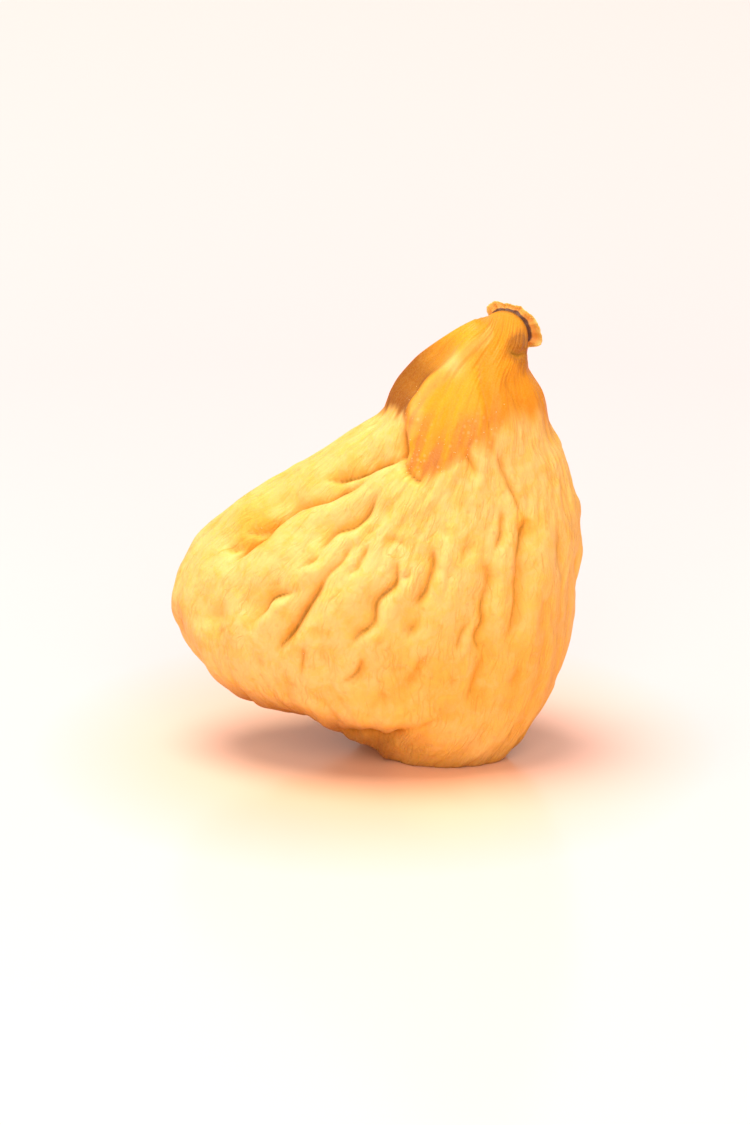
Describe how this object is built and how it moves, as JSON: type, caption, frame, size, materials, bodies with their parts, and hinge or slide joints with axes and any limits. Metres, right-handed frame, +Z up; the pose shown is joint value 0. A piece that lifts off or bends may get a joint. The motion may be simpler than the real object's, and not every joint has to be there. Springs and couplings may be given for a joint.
{
  "type": "dried fig",
  "caption": "Whole dried fig with a flattened, wrinkled body, a bent tapering neck with a cut stalk, and a small scaled eye at the blunt end; it sits upright on its blunt end.",
  "frame": {"origin": "centre of the bounding box in plan, on the surface the fig sits on", "axes": "+Z up, towards the stalk; -Y towards the broad folded face; +X to the right of someone who faces it"},
  "size_m": [0.0436, 0.0252, 0.0482],
  "materials": {
    "fig_skin": "leathery, slightly translucent dried skin, satin, wrinkled"
  },
  "bodies": {
    "root": {"dried_fig": "fig_skin"}
  },
  "joints": []
}
